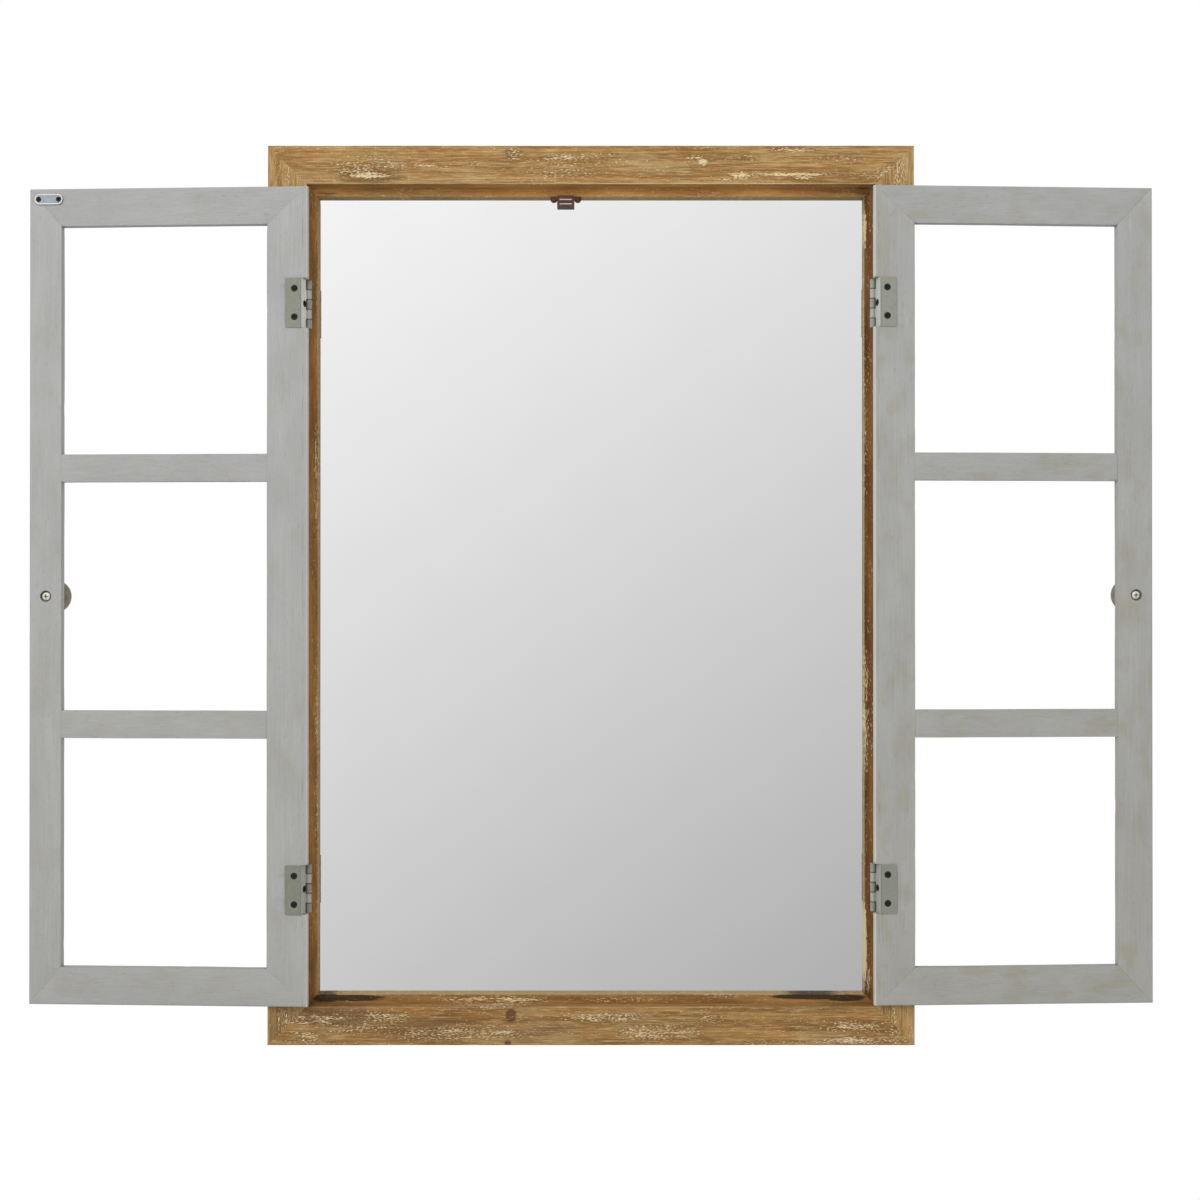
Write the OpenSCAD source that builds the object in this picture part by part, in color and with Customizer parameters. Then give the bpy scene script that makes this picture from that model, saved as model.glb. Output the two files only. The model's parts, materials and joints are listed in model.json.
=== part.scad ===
// Wall mirror in a mitred, stepped wooden frame, with two open-paned shutters
// on side hinges. Drawn in millimetres with the shutters swung open.
// X runs to the right, Y from the room to the wall and Z upwards. The origin is
// midway between the two hanging holes, on the plane of the wall.

/* [Frame] */
// Overall width of the frame
frame_w = 647; // [480:1:900]
// Overall height of the frame
frame_h = 900; // [640:1:1200]
// Width of the frame's front face
face_w = 39; // [34:0.5:60]
// Width of the step that the shutters close onto
stop_w = 8.3; // [7:0.1:14]
// Depth from the step back to the mirror's face
reveal_d = 7.8; // [7.6:0.1:20]
// How far the step's lip laps over the mirror
lip_w = 6.3; // [4:0.1:6.5]
// Depth left behind the backing board
back_recess = 4; // [3:0.1:8]
// Radius of the frame's eased front edges
frame_ease = 1.2; // [0.5:0.1:2.5]

/* [Mirror] */
// Thickness of the mirror
mirror_t = 3; // [2:0.1:5]
// Thickness of the backing board
board_t = 3; // [2:0.1:5]
// Gap around the mirror and its board
glass_gap = 0.5; // [0.2:0.1:1]
// Thickness of the tabs that hold the board in
tab_t = 0.8; // [0.5:0.1:1.2]
// Width of a tab
tab_w = 10; // [6:0.5:16]
// Length of a tab
tab_len = 16; // [12:0.5:20]
// How far a tab is driven into the frame
tab_in = 6; // [4:0.5:8]

/* [Shutters] */
// Thickness of the shutters
shutter_t = 8.5; // [7:0.5:18]
// Width of the hinge stiles
stock_w = 40.5; // [32:0.5:50]
// Width of the shutters' top and bottom rails
rail_w = 37.5; // [30:0.5:50]
// Width of the left shutter's free stile
left_free_w = 32.5; // [30:0.5:50]
// Width of the right shutter's free stile
right_free_w = 35.5; // [30:0.5:50]
// Width of the crossbars between the panes
muntin_w = 27.5; // [16:0.5:40]
// Gap between a closed shutter and the side of the frame
side_gap = 2.8; // [2.4:0.1:5]
// Gap above and below a closed shutter
end_gap = 4; // [3:0.1:9]
// Gap between the two closed shutters
centre_gap = 3.2; // [3:0.1:8]
// Gap between the step and the hinge leaves of a closed shutter
step_gap = 4.8; // [4.6:0.1:5.2]
// Radius of the shutters' outer edges
shutter_ease = 2; // [1:0.1:3]
// How much lower the left shutter hangs than the right one
left_drop = 1.3; // [0:0.1:2.5]
// Angle of the open shutters from closed
open_angle = 182.4; // [0:0.1:183]
// Radius of the dowels in the shutters' joints
dowel_r = 2.2; // [1.8:0.1:3]
// Length of a dowel
dowel_len = 24; // [16:1:28]

/* [Hinges] */
// Height of a hinge
hinge_h = 49; // [40:0.5:70]
// Thickness of the hinge leaves
leaf_t = 1.2; // [0.8:0.1:1.6]
// Radius of the hinge barrel
barrel_r = 2.5; // [2.2:0.1:3]
// Radius of the hinge pin
pin_r = 1.25; // [1:0.05:1.4]
// Width of the leaf on the shutter's inner face
plate_w = 16.2; // [13:0.1:22]
// Lean of the leaf that runs back along the shutter's edge
strip_lean = 13.5; // [4:0.5:16]
// Distance of each hinge's middle from the shutter's end
hinge_inset = 116; // [80:1:160]
// Spacing of the two screws in a leaf
hinge_screw_gap = 28.3; // [22:0.1:32]
// Distance of the leaf screws from the bend
hinge_screw_in = 7; // [5:0.1:9]
// Radius of the hinge screws' heads
hinge_head_r = 3.4; // [2.5:0.1:3.6]
// Radius of the hinge screws' shanks
hinge_shank_r = 1.4; // [1:0.1:1.6]
// Length of the screws in the shutter leaves
leaf_screw_len = 7.5; // [6:0.5:9]
// Length of the screws in the frame leaves
frame_screw_len = 18; // [12:0.5:25]

/* [Catch and strike plate] */
// Width of the magnetic catch across its ears
catch_w = 31.1; // [28:0.1:40]
// Width of the catch's body
catch_body_w = 17.2; // [15:0.1:19]
// Depth of the catch, part of which stands out in front of the step
catch_d = 11; // [10:0.1:11.4]
// Thickness of the catch's ears
ear_t = 3; // [2:0.1:4]
// Thickness of the catch's walls
catch_wall = 2.5; // [1.5:0.1:3]
// Spacing of the catch's screws
catch_screw_gap = 24.1; // [23:0.1:25]
// Thickness of the magnet between its poles
magnet_t = 3.4; // [2:0.1:4]
// Thickness of a steel pole
pole_t = 1; // [0.6:0.1:1.5]
// Width of the poles
pole_w = 12.2; // [8:0.1:12.5]
// How far the poles stand out of the catch
pole_out = 0.5; // [0.3:0.1:1]
// Sideways offset of the catch from the strike plate
catch_shift = 4.4; // [0:0.1:5]
// Length of the strike plate
strike_len = 29; // [24:0.5:34]
// Height of the strike plate
strike_h = 11; // [9:0.1:13]
// Thickness of the strike plate at its rim
strike_t = 1.2; // [1:0.1:1.2]
// Height of the rim above the plate
strike_rim = 0.5; // [0.2:0.1:0.6]
// Width of the rim
rim_w = 1.1; // [0.6:0.1:1.5]
// Spacing of the strike plate's screws
strike_screw_gap = 20.2; // [16:0.1:22]
// Distance of the strike plate's middle from the shutter's free edge
strike_in = 19.6; // [17:0.1:24]
// How far the strike plate sits below the middle of the magnet
strike_low = 1.4; // [0:0.1:3]

/* [Knobs] */
// Radius of a knob
knob_r = 16.5; // [11:0.1:19]
// Radius of the knob's rounded rim
knob_rim_r = 5.5; // [3:0.1:6]
// Distance of the knob's rim from the shutter
knob_reach = 15.5; // [11:0.1:17]
// Height of the knob's domed face
knob_dome = 2.5; // [1:0.1:4]
// Radius of the knob's neck
knob_neck_r = 5.5; // [4.5:0.1:7]
// Radius of the knob's foot
knob_foot_r = 8.5; // [7:0.1:11]
// Distance of the knobs from the shutters' free edges
knob_in = 16.7; // [14:0.1:20]
// Radius of the knob screw's head
knob_head_r = 4; // [3.5:0.1:4.5]
// Radius of the knob screw's shank
knob_shank_r = 2; // [1.5:0.1:2.5]
// Radius of the counterbore for the screw's head
counterbore_r = 5.6; // [5:0.1:7]
// Depth of the counterbore
counterbore_d = 3; // [2.5:0.1:5]

/* [Back hardware] */
// Distance of the hanging holes below the frame's top
hang_down = 110; // [104:1:140]
// Radius of the hanging plates' entry holes
entry_r = 4.5; // [4:0.1:5.5]
// Width of the hanging slots
slot_w = 4.4; // [3:0.1:5]
// Rise of the slots above the entry holes
slot_rise = 9; // [7:0.1:11]
// Width of a hanging plate
hanger_w = 16; // [14:0.5:20]
// Height of a hanging plate
hanger_h = 46; // [42:0.5:60]
// Thickness of the hanging plates and corner brackets
plate_t = 1.5; // [1:0.1:2.5]
// Depth of the pocket behind a hanging plate
pocket_d = 8; // [6:0.5:12]
// Length of a corner bracket's arm
bracket_len = 58; // [40:1:66]
// Width of a corner bracket's arm
bracket_w = 12; // [9:0.5:16]
// Radius of the back screws' heads
back_head_r = 3; // [2.5:0.1:3.5]
// Radius of the back screws' shanks
back_shank_r = 1.3; // [1:0.1:1.6]
// Length of the back screws
back_screw_len = 14; // [10:0.5:20]

/* [Hidden] */
$fn = 48;
fit_gap = 0.05;       // around dowels, screws and hinge pins
let_in_gap = 0.2;     // around plates let into the wood
move_gap = 0.3;       // between faces that move past each other
curl_bite = 0.35;     // how far a leaf runs into its barrel
knuckles = 5;
over = 1;             // how far a cutting shape runs past what it cuts
mouth = 0.2;          // how far a screw hole's flare runs past the face
screw_point = 2.5;    // length of a screw's point
recess_arm_t = 0.9;   // cross recess in a screw's head
recess_share = 1.1;   // length of a recess arm, in head radii
flat_recess = 0.7;    // depth of the recess in a countersunk head, in head heights
pan_recess = 0.6;     // depth of the recess in a pan head, in head heights
pan_side = 0.45;      // height of a pan head's straight side, in head heights
mitre_past = 0.05;    // how far a mitre's cutting shape runs on, in mitre lengths
strip_screw_share = 0.32; // where the edge screw sits in the shutter's thickness
tab_places_side = [-0.36, 0, 0.36];
tab_places_end = [-0.28, 0.28];

// Frame: depths are measured forward from the wall
rebate_d = shutter_t + leaf_t + step_gap;
mirror_back = back_recess + board_t;
mirror_front = mirror_back + mirror_t;
stop_front = mirror_front + reveal_d;
frame_d = stop_front + rebate_d;
stop_in = face_w + stop_w;
rabbet_in = stop_in - lip_w;
open_w = frame_w - 2 * face_w;
open_h = frame_h - 2 * face_w;
stop_top = frame_h / 2 - stop_in;
hang_z = frame_h / 2 - hang_down;

// Shutters: a runs from the hinge axis to the free edge, b from the axis to the
// wall, both with the shutter closed
axis_in = leaf_t + barrel_r - curl_bite;
axis_out = barrel_r + move_gap;
axis_x = open_w / 2 - axis_in;
axis_y = -frame_d - axis_out;
shutter_w = open_w / 2 - side_gap - centre_gap / 2;
shutter_h = open_h - 2 * end_gap;
edge_a = side_gap - axis_in;
free_a = edge_a + shutter_w;
outer_b = axis_out;
inner_b = outer_b + shutter_t;
pane_h = (shutter_h - 2 * rail_w - 2 * muntin_w) / 3;
muntin_z = (pane_h + muntin_w) / 2;
hinge_z = shutter_h / 2 - hinge_inset;

// Hinges
strip_a = barrel_r - curl_bite;
plate_b = inner_b + leaf_t;
bend_a = strip_a + plate_b * tan(strip_lean);
strip_t = leaf_t / cos(strip_lean);
knuckle_h = hinge_h / knuckles;
strip_screw_b = outer_b + strip_screw_share * shutter_t;
frame_leaf_b = outer_b + shutter_t;
frame_screw_b = outer_b + shutter_t / 2;
root_b = 1.3;
plate_ease = 1.5;
pin_end = 0.4;

// Catch
pole_head = 0.6;
magnet_z = stop_top - ear_t - pole_head - pole_t - magnet_t / 2;
catch_h = ear_t + pole_head + 2 * pole_t + magnet_t + catch_wall;
pole_front = stop_front + rebate_d - shutter_t - strike_t - move_gap;
catch_front = pole_front - pole_out;
catch_out = catch_front - stop_front;
ear_d = catch_d - catch_out;
ear_mid_y = ear_d / 2 - stop_front;
catch_x = free_a - strike_in - axis_x - catch_shift;
catch_head_r = 3;
catch_head_h = 2.6;
catch_screw_r = 1.4;
catch_screw_len = 15;
strike_a = free_a - strike_in;
strike_z = magnet_z - strike_low + left_drop;
strike_head_r = 2.65;
strike_shank_r = 1.1;
strike_screw_len = 7;
strike_face_b = inner_b + strike_t - strike_rim;

// Knobs
knob_a = free_a - knob_in;
knob_head_h = 2.4;
knob_screw_in = 9;
knob_foot_t = 2;
knob_hole_gap = 0.2;

// Back hardware
hanger_x = frame_w / 2 - rabbet_in / 2;
hanger_screw_in = 5;
hanger_screw_z = hanger_h / 2 - hanger_screw_in;
hanger_low = slot_rise / 2;
pocket_r = entry_r + 1;
bracket_at = (rabbet_in - bracket_w) / 2;
bracket_screws = [0.42, 0.84];

wood = "#a37f4b";
grey = "#b0b0ac";
steel = "#969a8e";
black = "#2a2a28";
bright = "#c9ccca";
brown = "#5a2f2a";

// ---- Placing ----

// Pieces drawn about the middle of the frame
module in_frame() {
    translate([0, 0, -hang_z]) children();
}

// Pieces drawn about a hinge axis, on the left side or mirrored to the right
module at_axis(side) {
    in_frame() mirror([side == "left" ? 0 : 1, 0, 0])
        translate([-axis_x, axis_y, side == "left" ? -left_drop : 0]) children();
}

// Pieces that swing with a shutter, drawn closed and shown open
module in_shutter(side) {
    at_axis(side) rotate([0, 0, -open_angle]) children();
}

// ---- Shared shapes ----

// What easing takes off a sharp corner at (u, v); su and sv point into the solid
module ease(u, v, r, su, sv) {
    translate([u, v]) difference() {
        translate([su > 0 ? -over : -r, sv > 0 ? -over : -r]) square(r + over);
        translate([su * r, sv * r]) circle(r);
    }
}

// A flat shape of the X-Z plane, given depth from y0 to y1
module slab(y0, y1) {
    translate([0, y1, 0]) rotate([90, 0, 0]) linear_extrude(y1 - y0) children();
}

// A round-ended bar lying along X
module stadium(len, h) {
    square([len - h, h], center = true);
    for (s = [-1, 1]) translate([s * (len - h) / 2, 0]) circle(h / 2);
}

// Cross recess in a screw's head, which faces up at z = 0
module cross_recess(head_r, depth) {
    for (turn = [0, 90]) rotate([0, 0, turn])
        translate([-head_r * recess_share / 2, -recess_arm_t / 2, -depth])
            cube([head_r * recess_share, recess_arm_t, depth + over]);
}

// A screw's shank and point, hanging down from z = 0
module shank(r, len) {
    translate([0, 0, screw_point - len]) cylinder(h = len - screw_point, r = r);
    translate([0, 0, -len]) cylinder(h = screw_point, r1 = r / 4, r2 = r);
}

// Countersunk screw with the top of its head at z = 0
module flat_screw(head_r, r, len) {
    head_h = head_r - r;
    difference() {
        union() {
            translate([0, 0, -head_h]) cylinder(h = head_h, r1 = r, r2 = head_r);
            shank(r, len);
        }
        cross_recess(head_r, head_h * flat_recess);
    }
}

// The hole for a countersunk screw, with its mouth at z = 0
module flat_screw_hole(head_r, r, len) {
    head_h = head_r - r;
    translate([0, 0, -head_h])
        cylinder(h = head_h + mouth, r1 = r + fit_gap, r2 = head_r + mouth + fit_gap);
    translate([0, 0, -len - fit_gap]) cylinder(h = len, r = r + fit_gap);
}

// Pan-headed screw with its head standing on z = 0
module pan_screw(head_r, head_h, r, len) {
    side_h = head_h * pan_side;
    dome_h = head_h - side_h;
    dome_r = (head_r * head_r + dome_h * dome_h) / (2 * dome_h);
    difference() {
        union() {
            cylinder(h = side_h, r = head_r);
            intersection() {
                translate([0, 0, head_h - dome_r]) sphere(dome_r);
                cylinder(h = head_h + over, r = head_r);
            }
            shank(r, len);
        }
        translate([0, 0, head_h]) cross_recess(head_r, head_h * pan_recess);
    }
}

// ---- Frame ----

// Section of the stepped moulding: u runs inwards, v forward from the wall
module frame_section() {
    difference() {
        polygon([[0, 0], [rabbet_in, 0], [rabbet_in, mirror_front], [stop_in, mirror_front],
            [stop_in, stop_front], [face_w, stop_front], [face_w, frame_d], [0, frame_d]]);
        ease(0, frame_d, frame_ease, 1, -1);
        ease(face_w, frame_d, frame_ease, -1, -1);
        ease(stop_in, stop_front, frame_ease / 2, -1, -1);
    }
}

// One length of moulding along X, with its outer edge at z = top and mitred ends
module moulding(len, top) {
    reach = stop_in + over;
    intersection() {
        translate([-len / 2, 0, top]) rotate([0, 90, 0]) linear_extrude(len)
            mirror([0, 1, 0]) frame_section();
        slab(-frame_d - over, over)
            polygon([[-len / 2 - over, top + over], [len / 2 + over, top + over],
                [len / 2 - reach, top - reach], [reach - len / 2, top - reach]]);
    }
}

// The frame's four corners in turn, with X and Z pointing out of each
module each_corner() {
    for (sx = [0, 1]) for (sz = [0, 1])
        mirror([1 - sx, 0, 0]) mirror([0, 0, 1 - sz])
            translate([frame_w / 2, 0, frame_h / 2]) children();
}

// Outline of a corner bracket, drawn inwards from the frame's corner
module bracket_outline(grow) {
    difference() {
        translate([-bracket_at - bracket_len - grow, -bracket_at - bracket_len - grow])
            square(bracket_len + 2 * grow);
        translate([-bracket_at - bracket_len - grow - over, -bracket_at - bracket_len - grow - over])
            square(bracket_len - bracket_w + over);
    }
}

// Places of a bracket's screws, facing the wall
module each_bracket_screw() {
    mid = bracket_at + bracket_w / 2;
    for (share = bracket_screws) {
        reach = bracket_at + bracket_len * share;
        translate([-reach, 0, -mid]) rotate([-90, 0, 0]) children();
        translate([-mid, 0, -reach]) rotate([-90, 0, 0]) children();
    }
}

// Places of the tabs, each drawn with its driven end along +X from the rabbet
module each_tab() {
    for (turn = [0, 180]) rotate([0, turn, 0]) {
        for (share = tab_places_side)
            translate([frame_w / 2 - rabbet_in, 0, share * frame_h]) children();
        for (share = tab_places_end)
            translate([share * frame_w, 0, frame_h / 2 - rabbet_in]) rotate([0, -90, 0]) children();
    }
}

// One tab, or the slot for it when grown
module tab(grow) {
    translate([tab_in - tab_len, -back_recess - grow, -tab_w / 2 - grow])
        cube([tab_len + grow, tab_t + 2 * grow, tab_w + 2 * grow]);
}

// A hanging plate's outline, centred on its entry hole
module hanger_outline(grow) {
    translate([-hanger_w / 2 - grow, hanger_low - hanger_h / 2 - grow])
        square([hanger_w + 2 * grow, hanger_h + 2 * grow]);
}

// The keyhole: a round entry with a slot rising from it
module keyhole(round_r, slot_half) {
    circle(round_r);
    translate([-slot_half, 0]) square([2 * slot_half, slot_rise]);
    translate([0, slot_rise]) circle(slot_half);
}

module each_hanger_screw() {
    for (s = [-1, 1])
        translate([0, 0, hanger_low + s * hanger_screw_z]) rotate([-90, 0, 0]) children();
}

// What the corner brackets and tabs take out of the frame
module corner_and_tab_cuts() {
    each_corner() {
        slab(-plate_t, over) bracket_outline(let_in_gap);
        each_bracket_screw() flat_screw_hole(back_head_r, back_shank_r, back_screw_len);
    }
    each_tab() tab(fit_gap);
}

// What the hinges and the hanging plate take out of a frame stile
module stile_cuts(side) {
    each_hinge(side) each_frame_leaf_screw()
        flat_screw_hole(hinge_head_r, hinge_shank_r, frame_screw_len);
    translate([side == "left" ? -hanger_x : hanger_x, 0, hang_z]) {
        slab(-plate_t, over) hanger_outline(let_in_gap);
        slab(-pocket_d, over) keyhole(pocket_r, pocket_r);
        each_hanger_screw() flat_screw_hole(back_head_r, back_shank_r, back_screw_len);
    }
}

module frame_rail(end) {
    color(wood) in_frame() mirror([0, 0, end == "top" ? 0 : 1]) difference() {
        moulding(frame_w, frame_h / 2);
        corner_and_tab_cuts();
        if (end == "top") catch_screw_places() catch_screw_hole();
    }
}

module frame_stile(side) {
    color(wood) in_frame() difference() {
        rotate([0, side == "left" ? -90 : 90, 0]) moulding(frame_h, frame_w / 2);
        corner_and_tab_cuts();
        stile_cuts(side);
    }
}

module mirror_glass() {
    w = frame_w - 2 * rabbet_in - 2 * glass_gap;
    h = frame_h - 2 * rabbet_in - 2 * glass_gap;
    color(bright) in_frame() slab(-mirror_front, -mirror_back) square([w, h], center = true);
}

module backing_board() {
    w = frame_w - 2 * rabbet_in - 2 * glass_gap;
    h = frame_h - 2 * rabbet_in - 2 * glass_gap;
    color("#8a6a48") in_frame() slab(-mirror_back, -back_recess) square([w, h], center = true);
}

module retaining_tabs() {
    color(steel) in_frame() each_tab() tab(0);
}

module corner_brackets() {
    color(bright) in_frame() each_corner() difference() {
        slab(-plate_t, 0) bracket_outline(0);
        each_bracket_screw() flat_screw_hole(back_head_r, back_shank_r, back_screw_len);
    }
}

module bracket_screws() {
    color(bright) in_frame() each_corner() each_bracket_screw()
        flat_screw(back_head_r, back_shank_r, back_screw_len);
}

module hanging_plate(side) {
    color(bright) in_frame() translate([side == "left" ? -hanger_x : hanger_x, 0, hang_z])
        difference() {
            slab(-plate_t, 0) hanger_outline(0);
            slab(-plate_t - over, over) keyhole(entry_r, slot_w / 2);
            each_hanger_screw() flat_screw_hole(back_head_r, back_shank_r, back_screw_len);
        }
}

module hanging_plate_screws() {
    color(bright) in_frame() for (s = [-1, 1]) translate([s * hanger_x, 0, hang_z])
        each_hanger_screw() flat_screw(back_head_r, back_shank_r, back_screw_len);
}

// ---- Magnetic catch ----

// Places of the two screws that hold the catch up under the step
module catch_screw_places() {
    for (s = [-1, 1])
        translate([catch_x + s * catch_screw_gap / 2, ear_mid_y, stop_top - ear_t])
            rotate([180, 0, 0]) children();
}

module catch_screw_hole() {
    translate([0, 0, -catch_screw_len - fit_gap])
        cylinder(h = catch_screw_len + over, r = catch_screw_r + fit_gap);
}

// A block of the catch, from below the step and back from its front face
module catch_block(w, from_z, h, from_front, d) {
    translate([catch_x - w / 2, from_front - catch_front, stop_top - from_z - h]) cube([w, d, h]);
}

module catch_body() {
    well_h = 2 * pole_t + magnet_t + 2 * fit_gap;
    color(brown) in_frame() difference() {
        union() {
            catch_block(catch_body_w, 0, catch_h, 0, catch_d);
            translate([catch_x, ear_mid_y, stop_top - ear_t])
                linear_extrude(ear_t) stadium(catch_w, ear_d);
        }
        catch_block(pole_w + 2 * fit_gap, ear_t + pole_head - fit_gap, well_h,
            -over, catch_d - catch_wall / 2 + over);
        catch_screw_places() catch_screw_hole();
    }
}

module catch_magnet() {
    color(black) in_frame()
        catch_block(pole_w, ear_t + pole_head + pole_t, magnet_t, move_gap,
            catch_d - catch_wall / 2 - move_gap - fit_gap);
}

module catch_poles() {
    color(bright) in_frame() for (step = [0, pole_t + magnet_t])
        catch_block(pole_w, ear_t + pole_head + step, pole_t, -pole_out,
            catch_d - catch_wall / 2 + pole_out - fit_gap);
}

module catch_screws() {
    color(bright) in_frame() catch_screw_places()
        pan_screw(catch_head_r, catch_head_h, catch_screw_r, catch_screw_len);
}

// ---- Hinges, drawn closed about the axis ----

// Both hinges of a side, in the frame's own place
module each_hinge(side) {
    mirror([side == "left" ? 0 : 1, 0, 0])
        translate([-axis_x, axis_y, side == "left" ? -left_drop : 0])
            for (s = [-1, 1]) translate([0, 0, s * hinge_z]) children();
}

// The turns of the barrel that belong to one leaf
module knuckle_set(turns) {
    for (i = turns)
        translate([0, 0, i * knuckle_h - hinge_h / 2 + move_gap / 2])
            linear_extrude(knuckle_h - move_gap) children();
}

// Room for the other leaf's turns
module knuckle_notches(turns) {
    reach = barrel_r + move_gap;
    for (i = turns)
        translate([-2 * reach, -2 * reach, i * knuckle_h - hinge_h / 2 - move_gap / 2])
            cube([4 * reach, 3 * reach, knuckle_h + move_gap]);
}

module pin_bore() {
    translate([0, 0, -hinge_h / 2 - over]) cylinder(h = hinge_h + 2 * over, r = pin_r + fit_gap);
}

module each_frame_leaf_screw() {
    for (z = [-hinge_screw_gap / 2, 0, hinge_screw_gap / 2])
        translate([leaf_t - axis_in, frame_screw_b, z]) rotate([0, 90, 0]) children();
}

module each_shutter_leaf_screw() {
    for (s = [-1, 1])
        translate([bend_a + hinge_screw_in, plate_b, s * hinge_screw_gap / 2])
            rotate([-90, 0, 0]) children();
    translate([strip_a + strip_screw_b * tan(strip_lean), strip_screw_b, 0])
        rotate([0, 0, -strip_lean]) rotate([0, -90, 0]) children();
}

// The leaf screwed to the side of the frame's rebate, with the odd turns
module frame_leaf() {
    difference() {
        union() {
            difference() {
                translate([-axis_in, 0, -hinge_h / 2]) cube([leaf_t, frame_leaf_b, hinge_h]);
                knuckle_notches([1, 3]);
            }
            knuckle_set([0, 2, 4]) {
                circle(barrel_r);
                translate([-axis_in, 0]) square([axis_in, root_b]);
            }
        }
        pin_bore();
        each_frame_leaf_screw() flat_screw_hole(hinge_head_r, hinge_shank_r, frame_screw_len);
    }
}

// Section of the leaf that runs along the shutter's edge and bends onto its face
module shutter_leaf_section() {
    polygon([[strip_a, 0], [bend_a, plate_b], [bend_a + plate_w, plate_b],
        [bend_a + plate_w, inner_b], [strip_a + strip_t + inner_b * tan(strip_lean), inner_b],
        [strip_a + strip_t, 0]]);
}

// The leaf screwed to the shutter, with the even turns
module shutter_leaf() {
    difference() {
        union() {
            difference() {
                translate([0, 0, -hinge_h / 2]) linear_extrude(hinge_h) shutter_leaf_section();
                knuckle_notches([0, 2, 4]);
            }
            knuckle_set([1, 3]) {
                circle(barrel_r);
                square([strip_a + strip_t, root_b]);
            }
        }
        pin_bore();
        slab(inner_b - over, plate_b + over) for (s = [-1, 1])
            ease(bend_a + plate_w, s * hinge_h / 2, plate_ease, -1, -s);
        each_shutter_leaf_screw() flat_screw_hole(hinge_head_r, hinge_shank_r, leaf_screw_len);
    }
}

module hinge_pin() {
    cylinder(h = hinge_h + 2 * pin_end, r = pin_r, center = true);
}

module frame_leaf_screws() {
    color(black) in_frame() for (side = ["left", "right"]) each_hinge(side)
        each_frame_leaf_screw() flat_screw(hinge_head_r, hinge_shank_r, frame_screw_len);
}

module leaf_screws(side) {
    color(black) in_shutter(side) for (s = [-1, 1]) translate([0, 0, s * hinge_z])
        each_shutter_leaf_screw() flat_screw(hinge_head_r, hinge_shank_r, leaf_screw_len);
}

module placed_frame_leaf(side, level) {
    color(steel) at_axis(side) translate([0, 0, level * hinge_z]) frame_leaf();
}

module placed_shutter_leaf(side, level) {
    color(steel) in_shutter(side) translate([0, 0, level * hinge_z]) shutter_leaf();
}

module placed_hinge_pin(side, level) {
    color(bright) at_axis(side) translate([0, 0, level * hinge_z]) hinge_pin();
}

// ---- Shutters, drawn closed about the hinge axis ----

// Section of a board with its outer edge at u = 0, eased on both faces
module board_section(w) {
    difference() {
        square([w, shutter_t]);
        ease(0, 0, shutter_ease, 1, 1);
        ease(0, shutter_t, shutter_ease, 1, -1);
    }
}

// A shutter's outer and inner corners in the a-z plane; a mitre joins each pair
function outer_corner(at_free, s) = [at_free ? free_a : edge_a, s * shutter_h / 2];
function inner_corner(free_w, at_free, s) =
    [at_free ? free_a - free_w : edge_a + stock_w, s * (shutter_h / 2 - rail_w)];
function past_corner(free_w, at_free, s) =
    outer_corner(at_free, s) * (1 + mitre_past) - inner_corner(free_w, at_free, s) * mitre_past;

// A board mitred at two corners, each given as [at_free, s]
module mitred(free_w, first, second) {
    intersection() {
        children();
        slab(outer_b - over, inner_b + over)
            polygon([past_corner(free_w, first[0], first[1]),
                past_corner(free_w, second[0], second[1]),
                inner_corner(free_w, second[0], second[1]),
                inner_corner(free_w, first[0], first[1])]);
    }
}

// Upright board with its outer edge at a = 0 and its width along +a
module upright(w) {
    translate([0, outer_b, -shutter_h / 2]) linear_extrude(shutter_h) board_section(w);
}

module hinge_stile_board(free_w) {
    mitred(free_w, [false, -1], [false, 1]) translate([edge_a, 0, 0]) upright(stock_w);
}

module free_stile_board(free_w) {
    mitred(free_w, [true, -1], [true, 1])
        translate([free_a, 0, 0]) mirror([1, 0, 0]) upright(free_w);
}

module rail_board(free_w, s) {
    mitred(free_w, [false, s], [true, s])
        mirror([0, 0, s > 0 ? 0 : 1]) translate([edge_a, outer_b, shutter_h / 2])
            rotate([0, 90, 0]) linear_extrude(shutter_w) board_section(rail_w);
}

module muntin_board(free_w, s) {
    translate([edge_a + stock_w, outer_b, s * muntin_z - muntin_w / 2])
        cube([shutter_w - stock_w - free_w, shutter_t, muntin_w]);
}

// Places of the dowels: one across each mitre and one in each end of a crossbar
module each_dowel(free_w) {
    mid_b = (outer_b + inner_b) / 2;
    for (s = [-1, 1]) {
        translate([edge_a + stock_w / 2, mid_b, s * (shutter_h - rail_w) / 2])
            rotate([0, s * 45, 0]) children();
        translate([free_a - free_w / 2, mid_b, s * (shutter_h - rail_w) / 2])
            rotate([0, -s * 45, 0]) children();
        for (a = [edge_a + stock_w, free_a - free_w])
            translate([a, mid_b, s * muntin_z]) rotate([0, 90, 0]) children();
    }
}

module dowel_cuts(free_w) {
    each_dowel(free_w)
        cylinder(h = dowel_len + 2 * fit_gap, r = dowel_r + fit_gap, center = true);
}

// The mortise that a shutter leaf lies in, and its screw holes
module shutter_leaf_cuts() {
    for (s = [-1, 1]) translate([0, 0, s * hinge_z]) {
        translate([0, 0, -hinge_h / 2 - let_in_gap]) linear_extrude(hinge_h + 2 * let_in_gap)
            polygon([[edge_a - over, -over], [edge_a - over, plate_b + over],
                [strip_a + strip_t + (plate_b + over) * tan(strip_lean), plate_b + over],
                [strip_a + strip_t - over * tan(strip_lean), -over]]);
        each_shutter_leaf_screw() flat_screw_hole(hinge_head_r, hinge_shank_r, leaf_screw_len);
    }
}

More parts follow.
